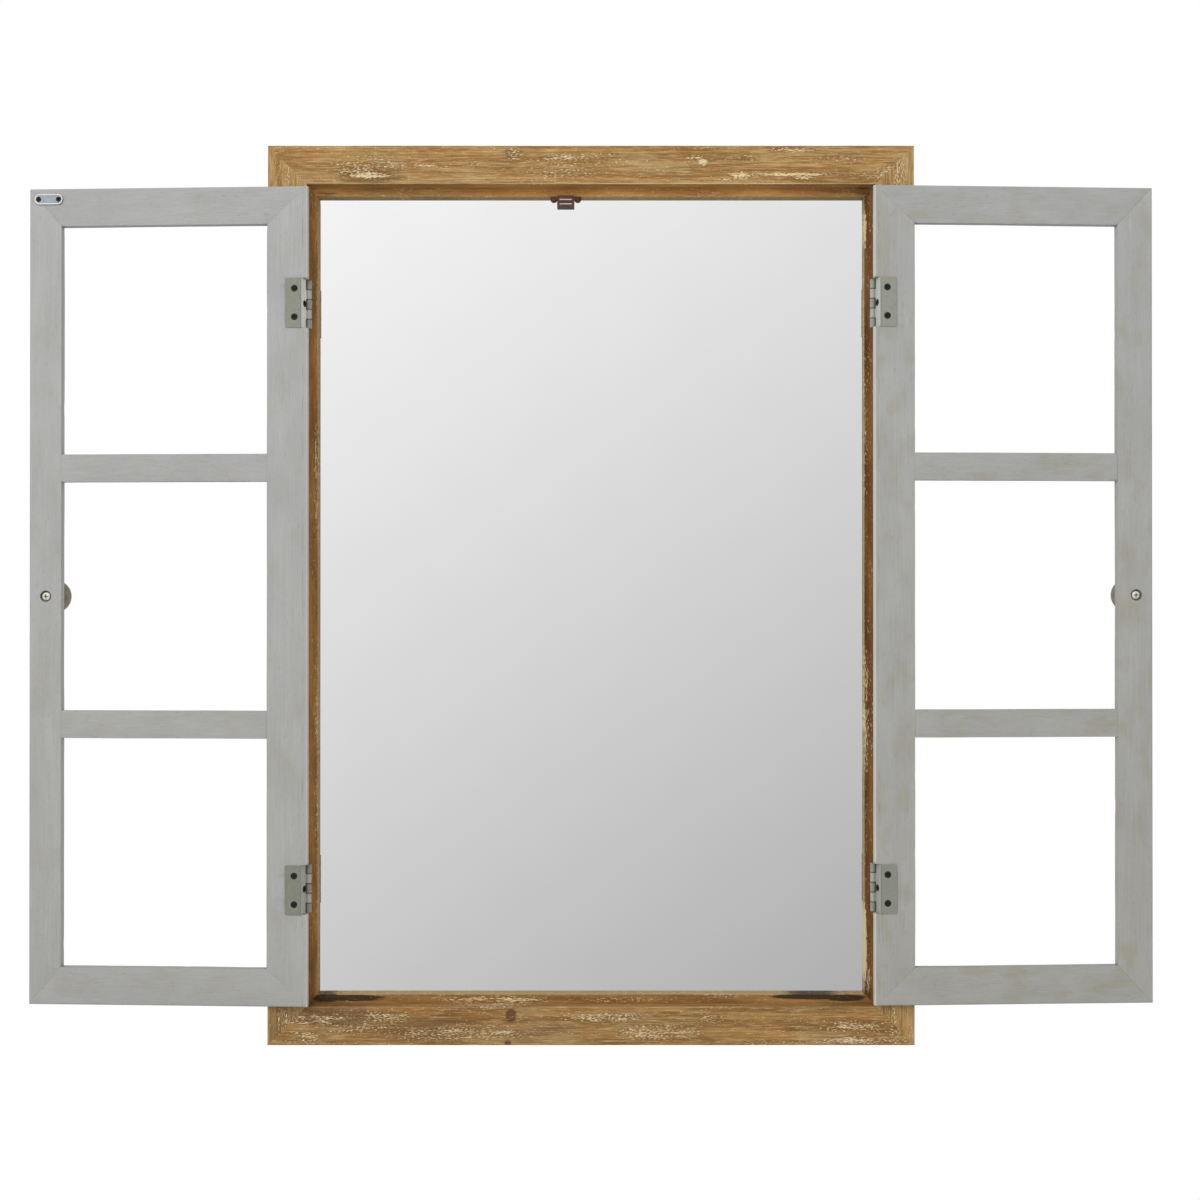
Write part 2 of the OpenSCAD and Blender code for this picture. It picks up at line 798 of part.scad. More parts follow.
// The knob screw's hole, counterbored on the shutter's inner face
module knob_cuts() {
    translate([knob_a, 0, 0]) rotate([-90, 0, 0]) {
        cylinder(h = plate_b + over, r = knob_shank_r + knob_hole_gap);
        translate([0, 0, inner_b - counterbore_d])
            cylinder(h = counterbore_d + over, r = counterbore_r);
    }
}

module each_strike_screw() {
    for (s = [-1, 1])
        translate([strike_a + s * strike_screw_gap / 2, strike_face_b, strike_z])
            rotate([-90, 0, 0]) children();
}

function free_width(side) = side == "left" ? left_free_w : right_free_w;

module hinge_stile(side) {
    color(grey) in_shutter(side) difference() {
        hinge_stile_board(free_width(side));
        dowel_cuts(free_width(side));
        shutter_leaf_cuts();
    }
}

module free_stile(side) {
    color(grey) in_shutter(side) difference() {
        free_stile_board(free_width(side));
        dowel_cuts(free_width(side));
        knob_cuts();
        if (side == "left") strike_screw_cuts();
    }
}

module shutter_rail(side, s) {
    color(grey) in_shutter(side) difference() {
        rail_board(free_width(side), s);
        dowel_cuts(free_width(side));
        if (side == "left" && s > 0) strike_screw_cuts();
    }
}

module muntin(side, s) {
    color(grey) in_shutter(side) difference() {
        muntin_board(free_width(side), s);
        dowel_cuts(free_width(side));
    }
}

module dowels(side) {
    color("#c9a66b") in_shutter(side) each_dowel(free_width(side))
        cylinder(h = dowel_len, r = dowel_r, center = true);
}

// ---- Knobs ----

// Half section of the knob: u is the radius, v the distance from the shutter
module knob_section() {
    rim_u = knob_r - knob_rim_r;
    head_v = knob_reach - knob_rim_r;
    dome_r = (rim_u * rim_u + knob_dome * knob_dome) / (2 * knob_dome);
    square([knob_foot_r, knob_foot_t]);
    square([knob_neck_r, knob_reach]);
    translate([0, head_v]) square([rim_u, 2 * knob_rim_r]);
    translate([rim_u, knob_reach]) circle(knob_rim_r);
    intersection() {
        translate([0, knob_reach + knob_rim_r + knob_dome - dome_r]) circle(dome_r);
        translate([0, knob_reach]) square([rim_u, knob_rim_r + knob_dome + over]);
    }
}

module knob(side) {
    color("#968773") in_shutter(side) translate([knob_a, outer_b, 0]) rotate([90, 0, 0])
        difference() {
            rotate_extrude() knob_section();
            translate([0, 0, -over])
                cylinder(h = knob_screw_in + 2 * over, r = knob_shank_r + fit_gap);
        }
}

module knob_screw(side) {
    seat_b = inner_b - counterbore_d;
    color(bright) in_shutter(side) translate([knob_a, seat_b, 0]) rotate([-90, 0, 0])
        pan_screw(knob_head_r, knob_head_h, knob_shank_r, seat_b - outer_b + knob_screw_in);
}

// ---- Strike plate ----

module strike_screw_cuts() {
    each_strike_screw() flat_screw_hole(strike_head_r, strike_shank_r, strike_screw_len);
}

module strike_plate() {
    color(bright) in_shutter("left") difference() {
        translate([strike_a, 0, strike_z]) slab(inner_b, inner_b + strike_t)
            stadium(strike_len, strike_h);
        translate([strike_a, 0, strike_z]) slab(strike_face_b, inner_b + strike_t + over)
            stadium(strike_len - 2 * rim_w, strike_h - 2 * rim_w);
        strike_screw_cuts();
    }
}

module strike_screws() {
    color(black) in_shutter("left") each_strike_screw()
        flat_screw(strike_head_r, strike_shank_r, strike_screw_len);
}

frame_rail("top");  // frame_top_rail
frame_rail("bottom");  // frame_bottom_rail
frame_stile("left");  // frame_left_stile
frame_stile("right");  // frame_right_stile
mirror_glass();
backing_board();
retaining_tabs();
corner_brackets();
bracket_screws();
hanging_plate("left");  // hanging_plate_left
hanging_plate("right");  // hanging_plate_right
hanging_plate_screws();
catch_body();
catch_magnet();
catch_poles();
catch_screws();
placed_frame_leaf("left", 1);  // left_upper_frame_leaf
placed_frame_leaf("left", -1);  // left_lower_frame_leaf
placed_frame_leaf("right", 1);  // right_upper_frame_leaf
placed_frame_leaf("right", -1);  // right_lower_frame_leaf
placed_hinge_pin("left", 1);  // left_upper_hinge_pin
placed_hinge_pin("left", -1);  // left_lower_hinge_pin
placed_hinge_pin("right", 1);  // right_upper_hinge_pin
placed_hinge_pin("right", -1);  // right_lower_hinge_pin
frame_leaf_screws();
hinge_stile("left");  // left_hinge_stile
free_stile("left");  // left_free_stile
shutter_rail("left", 1);  // left_top_rail
shutter_rail("left", -1);  // left_bottom_rail
muntin("left", 1);  // left_upper_muntin
muntin("left", -1);  // left_lower_muntin
dowels("left");  // left_dowels
placed_shutter_leaf("left", 1);  // left_upper_shutter_leaf
placed_shutter_leaf("left", -1);  // left_lower_shutter_leaf
leaf_screws("left");  // left_leaf_screws
knob("left");  // left_knob
knob_screw("left");  // left_knob_screw
strike_plate();
strike_screws();
hinge_stile("right");  // right_hinge_stile
free_stile("right");  // right_free_stile
shutter_rail("right", 1);  // right_top_rail
shutter_rail("right", -1);  // right_bottom_rail
muntin("right", 1);  // right_upper_muntin
muntin("right", -1);  // right_lower_muntin
dowels("right");  // right_dowels
placed_shutter_leaf("right", 1);  // right_upper_shutter_leaf
placed_shutter_leaf("right", -1);  // right_lower_shutter_leaf
leaf_screws("right");  // right_leaf_screws
knob("right");  // right_knob
knob_screw("right");  // right_knob_screw
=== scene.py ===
import json
import math

import bmesh
import bpy
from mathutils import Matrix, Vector, noise


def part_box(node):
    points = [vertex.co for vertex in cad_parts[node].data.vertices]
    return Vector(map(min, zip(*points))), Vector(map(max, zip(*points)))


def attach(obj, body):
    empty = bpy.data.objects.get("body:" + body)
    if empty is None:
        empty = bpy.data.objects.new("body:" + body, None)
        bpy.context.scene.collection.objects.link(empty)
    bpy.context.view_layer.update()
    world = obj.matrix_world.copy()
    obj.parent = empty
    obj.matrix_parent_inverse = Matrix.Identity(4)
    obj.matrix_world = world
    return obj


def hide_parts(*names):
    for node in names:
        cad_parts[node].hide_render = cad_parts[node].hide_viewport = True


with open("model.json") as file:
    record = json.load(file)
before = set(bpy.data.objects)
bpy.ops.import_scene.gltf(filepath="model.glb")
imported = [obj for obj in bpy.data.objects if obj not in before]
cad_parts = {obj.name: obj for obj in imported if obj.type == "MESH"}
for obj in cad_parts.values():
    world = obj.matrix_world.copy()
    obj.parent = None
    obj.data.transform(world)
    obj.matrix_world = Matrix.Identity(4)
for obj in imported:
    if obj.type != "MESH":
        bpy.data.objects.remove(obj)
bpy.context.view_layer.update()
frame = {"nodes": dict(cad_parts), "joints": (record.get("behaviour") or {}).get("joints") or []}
nodes = frame["nodes"]


# ---- Frame boards ----
# Four lengths of stepped fir moulding, mitred and glued at the corners. The wood is
# stained brown, then rubbed with cream paint and sanded back. The step's colours hold
# painted light and shade, and its corners painted shadows.

MM = 0.001
frame_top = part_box("frame_top_rail")[1].z
frame_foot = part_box("frame_bottom_rail")[0].z
frame_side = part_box("frame_right_stile")[1].x
frame_middle = (frame_top + frame_foot) / 2
half_height = (frame_top - frame_foot) / 2 / MM
half_width = frame_side / MM

# The moulding's face, its step and how far the step lies behind the face, in millimetres
face_w = 39.0
step_w = 8.3
step_depth = 14.5
face_depth = -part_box("frame_top_rail")[0].y / MM


class Wire:
    """A shader socket. Sums on it add Math nodes; with no socket, it stands for the tree."""

    def __init__(self, tree, socket=None):
        self.tree = tree
        self.socket = socket

    def add(self, kind, settings, values, output=0):
        """Adds a node: its settings first, then the values or links of its sockets."""
        node = self.tree.nodes.new("ShaderNode" + kind)
        for name, setting in settings.items():
            setattr(node, name, setting)
        for name, value in values.items():
            if isinstance(value, Wire):
                self.tree.links.new(value.socket, node.inputs[name])
            else:
                node.inputs[name].default_value = value
        return Wire(self.tree, node.outputs[output] if node.outputs else None)

    def math(self, operation, *others):
        return self.add("Math", {"operation": operation}, dict(enumerate((self, *others))))

    def __add__(self, other):
        return self.math("ADD", other)

    __radd__ = __add__

    def __sub__(self, other):
        return self.math("SUBTRACT", other)

    def __rsub__(self, other):
        return self.add("Math", {"operation": "SUBTRACT"}, {0: other, 1: self})

    def __mul__(self, other):
        return self.math("MULTIPLY", other)

    __rmul__ = __mul__

    def __truediv__(self, other):
        return self.math("DIVIDE", other)

    def rise(self, start, end):
        """0 at start and 1 at end, with a smooth step between them."""
        return self.add("MapRange", {"interpolation_type": "SMOOTHSTEP"},
                        {"Value": self, "From Min": start, "From Max": end})

    def peak(self, middle, reach):
        """1 at the middle, falling evenly to 0 at this reach on either side of it."""
        return (1 - ((self - middle) / reach).math("ABSOLUTE")).math("MAXIMUM", 0.0)

    def between(self, low, high):
        """The colour that lies this far from low to high."""
        return self.add("Mix", {"data_type": "RGBA"}, {0: self, 6: low, 7: high}, 2)


def rgb(red, green, blue):
    """A screen colour out of 255, as the linear colour that a shader takes."""
    parts = [c / 255 for c in (red, green, blue)]
    return (*[((c + 0.055) / 1.055) ** 2.4 if c > 0.04 else c / 12.92 for c in parts], 1.0)


def start_finish(name):
    """A new material and its empty tree."""
    material = bpy.data.materials.new(name)
    material.use_nodes = True
    material.node_tree.nodes.clear()
    return material, Wire(material.node_tree)


def close_finish(tree, colour, roughness, height, depth, **values):
    """Joins a finish's colour, roughness and relief, depth metres deep, to its shader."""
    relief = tree.add("Bump", {}, {"Height": height, "Distance": depth})
    shader = tree.add("BsdfPrincipled", {}, {
        "Base Color": colour, "Roughness": roughness, "Normal": relief, **values})
    tree.add("OutputMaterial", {}, {"Surface": shader})


def dress(piece, material):
    """Gives a piece its finish, in the slots it has or in a new one."""
    if not piece.material_slots:
        piece.data.materials.append(material)
    for slot in piece.material_slots:
        slot.material = material


def place(tree):
    """X, Y and Z in millimetres from the middle of the frame's back."""
    spot = tree.add("TexCoord", {}, {}, "Object")
    x, y, z = [tree.add("SeparateXYZ", {}, {"Vector": spot}, axis) / MM for axis in "XYZ"]
    return x, y, z - frame_middle / MM


def streaks(spot, sizes, seed=0.0, detail=2.0):
    """Noise drawn out to these sizes along, across and into a board."""
    along, across, into = [way / size for way, size in zip(spot, sizes)]
    point = along.add("CombineXYZ", {}, {"X": along + seed, "Y": across, "Z": into})
    return along.add("TexNoise", {}, {"Vector": point, "Scale": 1.0, "Detail": detail})


def inside(spot, places):
    """How deep a point lies in any of the places. Each is given by its middle along and
    across the board, its half length and half width, and its weight."""
    total = None
    for along, across, length, width, weight in places:
        off_along = (spot[0] - along) / length
        off_across = (spot[1] - across) / width
        near = 1 - off_along * off_along - off_across * off_across
        near = near.math("MAXIMUM", 0.0) * weight
        total = near if total is None else total.math("MAXIMUM", near)
    return total


def wood_finish(name, flat, half_across, stain, arris_wear_and_step_light, rubs, smudges, corner_shadows, knots, seed):
    """Stained and rubbed fir with its grain along a rail (flat) or a stile. Places on the
    board are given from its middle and from the frame's outer edge."""
    deep_stain, light_stain, step_dark_stain_and_shading, step_pale_stain_and_shading = stain
    material, tree = start_finish(name)
    x, y, z = place(tree)
    along, across = (x, z) if flat else (z, x)
    inwards = half_across - across.math("ABSOLUTE")
    sunk = y + face_depth
    off_wall = y.rise(-3.0, -8.0)
    spot = (along, inwards, y)
    grain = (along, across, y)

    # Bare stained wood: broad bands, late wood lines and fine fibres
    band = streaks(grain, (110, 7, 7), seed)
    line = streaks(grain, (60, 1.9, 1.9), seed + 3, 3.0)
    fibre = streaks(grain, (12, 0.8, 0.8), seed + 5, 3.0)
    cloud = streaks(grain, (75, 20, 20), seed + 9)
    colour = band.rise(0.38, 0.62).between(deep_stain, light_stain)
    colour = (cloud.rise(0.5, 0.7) * 0.55).between(colour, rgb(160, 108, 56))
    colour = (cloud.rise(0.48, 0.3) * 0.45).between(colour, rgb(182, 158, 112))
    colour = (line.rise(0.5, 0.64) * 0.42).between(colour, rgb(120, 86, 48))
    colour = (line.rise(0.46, 0.34) * 0.3).between(colour, rgb(206, 176, 122))
    colour = (fibre.rise(0.5, 0.68) * 0.42).between(colour, rgb(116, 82, 44))
    colour = (fibre.rise(0.47, 0.32) * 0.42).between(colour, rgb(216, 188, 136))

    # Knots, with a few dark rings
    ring = inside(spot, knots)
    ring = ring + (streaks(grain, (9, 2.4, 2.4), seed + 30) - 0.5) * ring.rise(0.0, 0.4) * 1.6
    colour = (ring.rise(0.0, 0.8) * 0.85).between(colour, rgb(100, 68, 42))
    colour = ((ring * 16.0).math("SINE").rise(0.1, 0.9) * ring.rise(0.1, 0.5) * 0.4).between(
        colour, rgb(82, 52, 28))

    # The step's colour range, set per board with painted light and shade, then painted light
    # down the step's wall, the arris rubbed pale and a painted shade line at the wall's top
    step = inwards.rise(face_w - 0.8, face_w - 0.4) * sunk.rise(0.2, 1.0)
    step_colour = streaks(grain, (70, 9, 9), seed + 12).rise(0.35, 0.65).between(
        step_dark_stain_and_shading, step_pale_stain_and_shading)
    step_colour = (fibre.rise(0.48, 0.7) * 0.4).between(step_colour, rgb(84, 54, 26))
    colour = step.between(colour, step_colour)
    # Painted light: the step's wall grows lighter with depth, and the step near the arris,
    # against the front face's shadow
    painted_step_light = sunk.rise(2.0, 10.0) * (1 - inwards.rise(face_w, face_w + 7.0)) * step
    colour = (painted_step_light * arris_wear_and_step_light * 0.36).between(colour, rgb(206, 152, 84))
    arris = inwards.peak(face_w - 0.7, 0.8) * cloud.rise(0.3, 0.6) * (1 - sunk.rise(0.2, 0.6))
    colour = (arris * arris_wear_and_step_light).between(colour, rgb(224, 200, 150))
    # Painted shade: a dark line at the top of the step's wall, by the arris
    painted_crease_shade = sunk.peak(1.4, 1.3) * step
    colour = (painted_crease_shade * 0.6).between(colour, rgb(70, 44, 22))

    # Painted light: a paler reveal beside the mirror, which on a stile starts well below the
    # step
    painted_reveal_light = inwards.rise(face_w + step_w - 0.2, face_w + step_w - 0.05)
    if not flat:
        painted_reveal_light = painted_reveal_light * sunk.rise(step_depth + 0.5, step_depth + 4.5)
    colour = (painted_reveal_light * 0.85).between(colour, rgb(180, 156, 112))

    # Smudges, and painted shadows in the step's corners, none of them on the back
    smudge = inside(spot, smudges) * off_wall
    smudge = smudge + (streaks(grain, (46, 4, 4), seed + 33) - 0.5) * 1.2
    colour = (smudge.rise(0.12, 0.9) * 0.6).between(colour, rgb(92, 68, 46))
    painted_corner_shadow = inside(spot, corner_shadows) * off_wall + streaks(grain, (30, 2.4, 2.4), seed + 15) - 0.5
    painted_corner_shadow = painted_corner_shadow.rise(0.18, 0.7)
    colour = (painted_corner_shadow * 0.9).between(colour, rgb(44, 32, 24))

    # Cream paint left where it was rubbed on: speckled patches and worn corners, none behind
    speck = streaks(grain, (3.4, 0.7, 0.7), seed + 18)
    drift = streaks(grain, (85, 9, 9), seed + 21)
    tuft = streaks(grain, (24, 2.2, 2.2), seed + 24, 3.0) - 0.5
    worn = inwards.peak(face_w + step_w, 1.2)
    rubbed = inside(spot, rubs) * off_wall
    rubbed = rubbed + tuft * rubbed.rise(0.0, 0.4) * 2.2
    cover = rubbed * 0.22 + drift.rise(0.46, 0.7) * 0.085 + worn * 0.05
    paint = (speck + cover).rise(0.66, 0.74) * off_wall * (1 - painted_corner_shadow * 0.8)
    cream = drift.rise(0.35, 0.7).between(rgb(234, 212, 160), rgb(226, 208, 168))
    shadow = rubbed.rise(0.02, 0.4) * 0.42
    colour = shadow.between(colour, rgb(116, 82, 48))
    colour = (paint * 0.92).between(colour, cream)

    roughness = 0.62 - paint * 0.1 + fibre * 0.08
    height = paint * 0.35 - fibre.rise(0.5, 0.75) * 0.5 - line.rise(0.56, 0.7) * 0.3
    close_finish(tree, colour, roughness, height, 0.2 * MM, **{"Specular IOR Level": 0.25})
    return material


def sanded(name, along, across, ease, wear, reach, seed):
    """A copy of a CAD board with its joints eased, and its corners worn unevenly by hand
    as far in as the reach. It stands for the node in the render."""
    depth = along.cross(across)
    work = bmesh.new()
    work.from_mesh(nodes[name].data)
    bmesh.ops.remove_doubles(work, verts=work.verts[:], dist=0.003 * MM)
    bmesh.ops.dissolve_limit(work, angle_limit=math.radians(0.6),
                             verts=work.verts[:], edges=work.edges[:])

    def is_joint(edge):
        """Whether an edge runs across the board's face where it meets the next board."""
        if len(edge.link_faces) != 2 or edge.calc_length() < 8 * MM or not edge.is_convex:
            return False
        turns = sorted(abs(face.normal.dot(along)) for face in edge.link_faces)
        faces = max(abs(face.normal.dot(depth)) for face in edge.link_faces)
        return turns[0] < 0.05 and turns[1] > 0.5 and faces > 0.99

    joints = [edge for edge in work.edges if is_joint(edge)]
    bmesh.ops.bevel(work, geom=joints, offset=ease, segments=2, profile=0.5, affect="EDGES")

    # Cuts along the corners and across the board give the wear points to move
    spots = [(v.co.dot(across), v.co.dot(depth)) for v in work.verts]
    ends = [(min(values), max(values)) for values in zip(*spots)]
    corners = [(ends[0][i], ends[1][j], 1 - 2 * i, 1 - 2 * j) for i in (0, 1) for j in (0, 1)]
    cuts = [(across, a + way * reach) for a, d, way, turn in corners]
    cuts += [(depth, d + turn * reach) for a, d, way, turn in corners]
    lengths = [v.co.dot(along) for v in work.verts]
    pitch = 7 * MM
    count = int((max(lengths) - min(lengths)) / pitch)
    cuts += [(along, min(lengths) + pitch * (i + 0.5)) for i in range(count)]
    for way, far in cuts:
        parts = work.verts[:] + work.edges[:] + work.faces[:]
        bmesh.ops.bisect_plane(work, geom=parts, plane_co=way * far, plane_no=way,
                               dist=0.001 * MM)

    # Long shallow sanding and short deeper dents, different at each corner
    sand_pitch, dent_pitch = 60 * MM, 13 * MM
    for vert in work.verts:
        t, a, d = [vert.co.dot(way) for way in (along, across, depth)]
        for at, deep, way, turn in corners:
            near = 1 - max(abs(a - at), abs(d - deep)) / reach
            if near > 0.02:
                sand = noise.noise(Vector((t / sand_pitch, at * 90, seed + deep * 70)))
                dent = noise.noise(Vector((t / dent_pitch, at * 170, seed + 7 + deep * 90)))
                amount = wear * near * (max(0, sand + 0.25) + 3 * max(0, dent - 0.34))
                vert.co += (across * way + depth * turn) * amount

    mesh = bpy.data.meshes.new("worn_" + name)
    work.to_mesh(mesh)
    work.free()
    for face in mesh.polygons:
        face.use_smooth = True
    mesh.set_sharp_from_angle(angle=math.radians(32))
    piece = bpy.data.objects.new("worn_" + name, mesh)
    bpy.context.scene.collection.objects.link(piece)
    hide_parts(name)
    return piece


X, Z = Vector((1, 0, 0)), Vector((0, 0, 1))

# Where cream paint was rubbed on each board
top_rubs = [
    (-226, 21, 44, 15, 0.55), (-222, 30, 25, 4.5, 1.15), (-165, 20.5, 15, 1.5, 1.2),
    (-117, 19, 6, 4, 0.6), (-77, 9, 12, 7, 0.6), (-20, 26, 50, 8, 0.4),
    (-31, 12, 34, 4, 0.4), (22, 8.5, 20, 3, 0.4), (21, 27.5, 16, 3, 0.4),
    (105, 12, 13, 4, 1.0), (112, 17, 6, 4.5, 1.6), (197, 29, 56, 2.2, 1.3),
    (150, 30, 14, 5, 1.2), (213, 32, 16, 3, 1.1), (130, 35, 14, 2, 0.8),
    (201, 4.5, 36, 3, 0.9), (156, 11, 16, 6, 0.4), (249, 14, 34, 6, 0.35),
    (298, 26, 14, 11, 0.55)]
foot_rubs = [
    (-278, 26, 38, 8, 0.5), (-285, 9, 24, 8, 0.48), (-232, 17, 54, 7, 0.45),
    (-204, 28, 28, 8, 0.65), (-134, 11, 96, 8, 0.52), (3, 27, 12, 5, 0.5),
    (22, 28, 44, 6, 0.6), (70, 14, 56, 10, 0.55), (120, 27, 16, 7, 0.5),
    (262, 19, 42, 9, 0.6), (266, 5, 42, 5, 0.75), (168, 3, 22, 3, 0.6),
    (304, 12, 14, 20, 0.5), (-97, 42, 60, 5, 0.8), (35, 42, 50, 3, 0.6)]
side_rubs = [
    (420, 20, 10, 3, 0.7), (300, 18, 40, 7, 0.6), (180, 30, 50, 4, 0.8),
    (60, 12, 34, 6, 0.5), (-70, 25, 60, 4, 0.9), (-210, 9, 44, 4, 0.7),
    (-330, 28, 36, 6, 0.7), (-425, 16, 18, 8, 0.5), (120, 46, 80, 3, 0.7),
    (-160, 46, 120, 3, 0.15)]
reveal_rubs = [
    (-352, 47.2, 46, 2.4, 2.0), (-388, 44, 20, 2.5, 0.8), (371, 46.4, 28, 1.7, 1.4)]

# Stains: dark and light on the face, then dark and light in the step. The step colours
# are painted light on the top rail and left stile, set paler where the lamps shade the
# step, and painted shade on the right stile, set darker
top_stain_and_step_shading = (rgb(150, 110, 61), rgb(178, 141, 88), rgb(170, 121, 63), rgb(198, 151, 88))
foot_stain = (rgb(135, 98, 53), rgb(169, 129, 76), rgb(132, 96, 54), rgb(166, 127, 75))
left_stain_and_step_shading = (rgb(154, 118, 68), rgb(182, 146, 94), rgb(156, 112, 60), rgb(192, 144, 80))
right_stain_and_step_shading = (rgb(154, 118, 68), rgb(182, 146, 94), rgb(96, 66, 37), rgb(130, 92, 52))
frame_boards = {
    "frame_top_rail": dict(
        flat=True, half_across=half_height, stain=top_stain_and_step_shading, arris_wear_and_step_light=0.95, rubs=top_rubs,
        smudges=[(-222, 31, 46, 11, 1.0), (212, 30, 66, 8, 0.45), (-80, 11, 16, 9, 0.5),
                 (-190, 43, 110, 9, 0.5), (250, 43, 80, 9, 0.55)],
        corner_shadows=[(-268, 45, 16, 4, 0.45), (274, 43, 12, 7, 0.55)],
        knots=[(-80, 8, 10, 6, 0.5), (50, 45, 7, 3, 0.6)], seed=0.0),
    "frame_bottom_rail": dict(
        flat=True, half_across=half_height, stain=foot_stain, arris_wear_and_step_light=0.2, rubs=foot_rubs,
        smudges=[(-250, 28, 70, 14, 1.0), (-170, 18, 100, 18, 0.8), (-60, 14, 90, 16, 0.5)],
        corner_shadows=[(-242, 43.5, 42, 4, 1.3), (-266, 43.5, 20, 5, 1.3),
               (225, 45, 50, 3.4, 1.5), (256, 43.8, 24, 4.2, 1.5)],
        knots=[(-80, 30, 6, 8, 1.4), (-83, 2.5, 4, 3, 1.4)], seed=40.0),
    "frame_left_stile": dict(
        flat=False, half_across=half_width, stain=left_stain_and_step_shading, arris_wear_and_step_light=0.5, rubs=side_rubs,
        smudges=[(120, 20, 60, 10, 0.6), (-380, 43, 90, 8, 0.4), (-435, 18, 44, 30, 0.8)],
        corner_shadows=[(-420, 43, 26, 5, 0.5)],
        knots=[(-120, 22, 9, 7, 0.8)], seed=80.0),
    "frame_right_stile": dict(
        flat=False, half_across=half_width, stain=right_stain_and_step_shading, arris_wear_and_step_light=0.5,
        rubs=reveal_rubs + [(-along, *place_size) for along, *place_size in side_rubs],
        smudges=[(-120, 20, 60, 10, 0.6)],
        corner_shadows=[(-405, 43, 24, 4, 0.5)],
        knots=[(210, 14, 9, 7, 0.8)], seed=120.0)}
wear_depth = 0.25 * MM
for name, look in frame_boards.items():
    along, across = (X, Z) if look["flat"] else (Z, X)
    piece = sanded(name, along, across, 0.3 * MM, wear_depth, 2.6 * MM, look["seed"])
    dress(piece, wood_finish(name + "_stain", **look))
    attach(piece, "frame")


# ---- Mirror and backing board ----
# Silvered glass laid in the frame's rabbet, with a sheet of raw hardboard behind it. The
# glass is clean, with hardly any haze.

material, tree = start_finish("silvered_glass")
x, y, z = place(tree)
haze = streaks((x, z, y), (70, 70, 70), 2.0)
dust = streaks((x, z, y), (1.2, 1.2, 1.2), 4.0)
silver = haze.rise(0.3, 0.7).between(rgb(240, 240, 240), rgb(239, 239, 240))
close_finish(tree, silver, 0.012 + haze * 0.006, dust, 0.0001 * MM, Metallic=1.0)
dress(nodes["mirror_glass"], material)

material, tree = start_finish("raw_hardboard")
x, y, z = place(tree)
flake = streaks((x, z, y), (2.2, 2.2, 2.2), 1.0, 4.0)
stain = streaks((x, z, y), (120, 90, 90), 6.0)
board = flake.rise(0.35, 0.68).between(rgb(112, 78, 48), rgb(150, 112, 74))
board = (stain.rise(0.5, 0.75) * 0.4).between(board, rgb(92, 62, 38))
close_finish(tree, board, 0.78 - flake * 0.1, flake, 0.2 * MM)
dress(nodes["backing_board"], material)


# ---- Tabs, brackets and hanging plates ----
# Pressed steel, zinc plated. Tabs driven into the rabbet's sides hold the backing board,
# brackets are screwed across the mitres, and keyhole plates are let into the stiles.

material, tree = start_finish("zinc_plate")
x, y, z = place(tree)
spangle = tree.add("TexVoronoi", {"feature": "F1"},
                   {"Vector": tree.add("TexCoord", {}, {}, "Object"), "Scale": 420.0}, "Color")
spangle = tree.add("SeparateColor", {}, {"Color": spangle})
scuff = streaks((x, z, y), (1.5, 18, 4), 8.0, 3.0)
zinc = spangle.between(rgb(172, 175, 178), rgb(204, 206, 208))
zinc = (scuff.rise(0.56, 0.7) * 0.4).between(zinc, rgb(138, 140, 142))
close_finish(tree, zinc, 0.34 + spangle * 0.12 + scuff * 0.1, scuff, 0.05 * MM, Metallic=0.9)
for name in ("retaining_tabs", "corner_brackets", "bracket_screws", "hanging_plate_left",
             "hanging_plate_right", "hanging_plate_screws"):
    dress(nodes[name], material)


# ---- Magnetic catch ----
# A brown plastic housing screwed up under the step by its two ears. It holds a ferrite
# magnet between two steel pole plates, whose bright edges show at the front.

material, tree = start_finish("brown_plastic")
x, y, z = place(tree)
speckle = streaks((x, z, y), (0.5, 0.5, 0.5), 3.0, 3.0)
sheen = streaks((x, z, y), (9, 5, 5), 5.0)
plastic = speckle.rise(0.35, 0.7).between(rgb(66, 34, 26), rgb(86, 46, 36))
plastic = (sheen.rise(0.5, 0.7) * 0.3).between(plastic, rgb(110, 70, 56))
close_finish(tree, plastic, 0.42 + speckle * 0.15, speckle, 0.06 * MM)
dress(nodes["catch_body"], material)

material, tree = start_finish("ferrite")
x, y, z = place(tree)
grit = streaks((x, z, y), (0.4, 0.4, 0.4), 7.0, 4.0)
ferrite = grit.rise(0.3, 0.7).between(rgb(54, 38, 30), rgb(82, 60, 48))
close_finish(tree, ferrite, 0.6 + grit * 0.2, grit, 0.08 * MM)
dress(nodes["catch_magnet"], material)

material, tree = start_finish("nickel_plate")
x, y, z = place(tree)
brushed = streaks((x, z, y), (14, 0.25, 0.25), 1.0, 3.0)
tarnish = streaks((x, z, y), (6, 6, 6), 3.0)
nickel = brushed.rise(0.3, 0.7).between(rgb(196, 180, 166), rgb(214, 200, 186))
nickel = (tarnish.rise(0.52, 0.72) * 0.35).between(nickel, rgb(150, 134, 120))
close_finish(tree, nickel, 0.3 + tarnish * 0.16, brushed, 0.03 * MM, Metallic=0.7)
dress(nodes["catch_poles"], material)

material, tree = start_finish("bronzed_screw")
x, y, z = place(tree)
bloom = streaks((x, z, y), (1.1, 1.1, 1.1), 9.0, 3.0)
bronze = bloom.rise(0.35, 0.7).between(rgb(84, 54, 40), rgb(112, 76, 60))
close_finish(tree, bronze, 0.36 + bloom * 0.2, bloom, 0.03 * MM, Metallic=0.5)
dress(nodes["catch_screws"], material)

# The mirror shows no reflection of the catch
for name in ("catch_body", "catch_magnet", "catch_poles", "catch_screws"):
    nodes[name].visible_glossy = False


# ---- Shutter boards ----
# Each shutter is two stiles and two rails, mitred and dowelled, with two crossbars
# between the stiles. Grey paint is brushed along each board, over close-grained wood.

